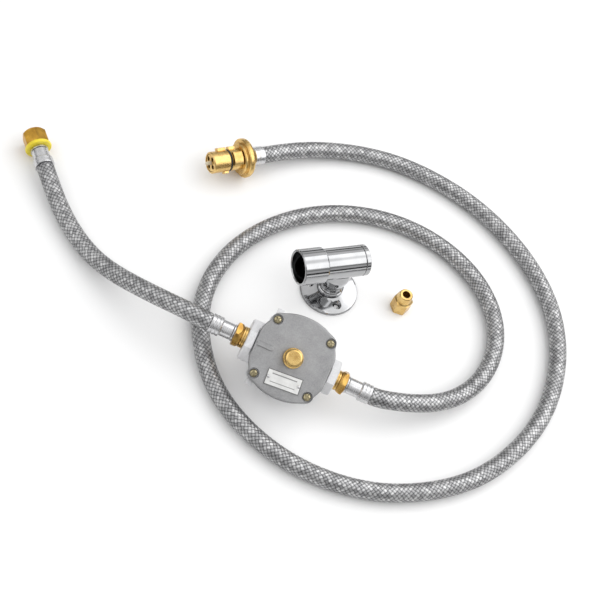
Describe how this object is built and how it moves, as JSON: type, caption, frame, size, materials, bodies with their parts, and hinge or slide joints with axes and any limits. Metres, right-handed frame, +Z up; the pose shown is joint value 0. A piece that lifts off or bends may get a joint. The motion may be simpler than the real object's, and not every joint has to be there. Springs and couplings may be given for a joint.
{
  "type": "gas regulator hose",
  "caption": "Diaphragm gas regulator joined to braided hoses, with a swivel flare end, a bayonet plug, a chrome wall bayonet socket and a loose flare nut.",
  "frame": {"origin": "on the surface the kit lies on, under the middle of the box around the regulator with its fittings, the wall socket and the loose nut", "axes": "+Z up from the surface; +X along the gas flow through the regulator, from its inlet boss to its outlet boss; +Y towards the wall socket"},
  "size_m": [0.511, 0.3401, 0.0636],
  "materials": {
    "cast_alloy": "satin",
    "brass": "gloss",
    "aged_brass": "satin",
    "zinc_plate": "satin",
    "bright_steel": "gloss",
    "braided_hose": "satin",
    "chrome_plate": "polished",
    "nitrile_rubber": "matte",
    "fibre": "matte",
    "blank_plate": "satin",
    "yellow_plastic": "gloss",
    "cream_plastic": "matte"
  },
  "bodies": {
    "regulator": {"regulator_body": "cast_alloy", "regulator_cover": "cast_alloy", "cover_screw_1": "zinc_plate", "cover_screw_2": "zinc_plate", "cover_screw_3": "zinc_plate", "cover_screw_4": "zinc_plate", "diaphragm": "nitrile_rubber", "orifice_seat": "brass", "main_spring": "bright_steel", "rating_plate": "blank_plate", "plate_rivet_1": "bright_steel", "plate_rivet_2": "bright_steel", "inlet_adaptor": "brass", "inlet_washer": "fibre", "inlet_tail": "bright_steel", "inlet_ferrule": "bright_steel", "inlet_hose": "braided_hose", "end_ferrule": "bright_steel", "end_tail": "bright_steel", "end_ring": "yellow_plastic", "outlet_adaptor": "brass", "outlet_washer": "fibre", "outlet_tail": "bright_steel", "outlet_ferrule": "bright_steel", "outlet_hose": "braided_hose", "plug_ferrule": "bright_steel", "plug_tail": "bright_steel", "plug_collar": "brass", "plug_body": "brass", "plug_o_ring": "nitrile_rubber", "plug_face_disc": "brass", "plug_pin": "cream_plastic"},
    "cap_seal": {"cap_gasket": "nitrile_rubber"},
    "cap": {"seal_cap": "brass"},
    "spring_top": {"spring_seat": "zinc_plate"},
    "adjuster": {"adjusting_screw": "brass"},
    "valve": {"diaphragm_plate": "bright_steel", "backing_washer": "zinc_plate", "valve_stem": "brass", "valve_disc": "nitrile_rubber"},
    "inlet_nut": {"inlet_union_nut": "brass"},
    "outlet_nut": {"outlet_union_nut": "brass"},
    "swivel_nut": {"end_nut": "aged_brass"},
    "wall_socket": {"socket_flange": "chrome_plate", "socket_lock_ring": "chrome_plate", "socket_neck": "chrome_plate", "socket_body": "chrome_plate", "socket_collar": "chrome_plate", "socket_end_cap": "chrome_plate", "socket_seal": "nitrile_rubber", "socket_spring": "bright_steel"},
    "poppet": {"socket_valve": "brass"},
    "loose_nut": {"flare_nut": "brass"}
  },
  "joints": [
    {"name": "cap_travel", "type": "slide", "parent": "regulator", "child": "cap_seal", "axis": [0.0872, -0.4523, 0.8876], "range_m": [0, 0.00625]},
    {"name": "cap_turn", "type": "hinge", "parent": "cap_seal", "child": "cap", "pos_m": [-0.00192, -0.05271, 0.05239], "axis": [0.0872, -0.4523, 0.8876], "range_deg": [0, 1800]},
    {"name": "adjuster_travel", "type": "slide", "parent": "regulator", "child": "spring_top", "axis": [0.0872, -0.4523, 0.8876], "range_m": [-0.002, 0.001], "deforming": ["main_spring"]},
    {"name": "adjuster_turn", "type": "hinge", "parent": "spring_top", "child": "adjuster", "pos_m": [-0.00201, -0.05225, 0.0515], "axis": [0.0872, -0.4523, 0.8876], "range_deg": [-720, 360]},
    {"name": "valve_stroke", "type": "slide", "parent": "regulator", "child": "valve", "axis": [0.0872, -0.4523, 0.8876], "range_m": [0, 0.002], "stiffness_N_per_m": 1200, "deforming": ["main_spring", "diaphragm"]},
    {"name": "inlet_nut_spin", "type": "hinge", "parent": "regulator", "child": "inlet_nut", "pos_m": [-0.04963, -0.04321, 0.03375], "axis": [-0.9962, -0.0396, 0.0777], "continuous": true},
    {"name": "outlet_nut_spin", "type": "hinge", "parent": "regulator", "child": "outlet_nut", "pos_m": [0.04183, -0.03958, 0.02662], "axis": [0.9962, 0.0396, -0.0777], "continuous": true},
    {"name": "swivel_nut_spin", "type": "hinge", "parent": "regulator", "child": "swivel_nut", "pos_m": [-0.27972, 0.06308, 0.0122], "axis": [-0.682, 0.7314, 0], "continuous": true},
    {"name": "socket_lift", "type": "slide", "parent": "regulator", "child": "wall_socket", "axis": [0, 0, 1], "range_m": [0, 0.08]},
    {"name": "poppet_push", "type": "slide", "parent": "wall_socket", "child": "poppet", "axis": [0.7716, 0.6293, -0.0924], "range_m": [0, 0.005], "stiffness_N_per_m": 300, "deforming": ["socket_spring"]},
    {"name": "nut_lift", "type": "slide", "parent": "regulator", "child": "loose_nut", "axis": [0, 0, 1], "range_m": [0, 0.08]}
  ],
  "couplings": [
    {"joint": "cap_turn", "follows": "cap_travel", "rad_per_m": 5026.5},
    {"joint": "adjuster_turn", "follows": "adjuster_travel", "rad_per_m": 6283.1}
  ]
}
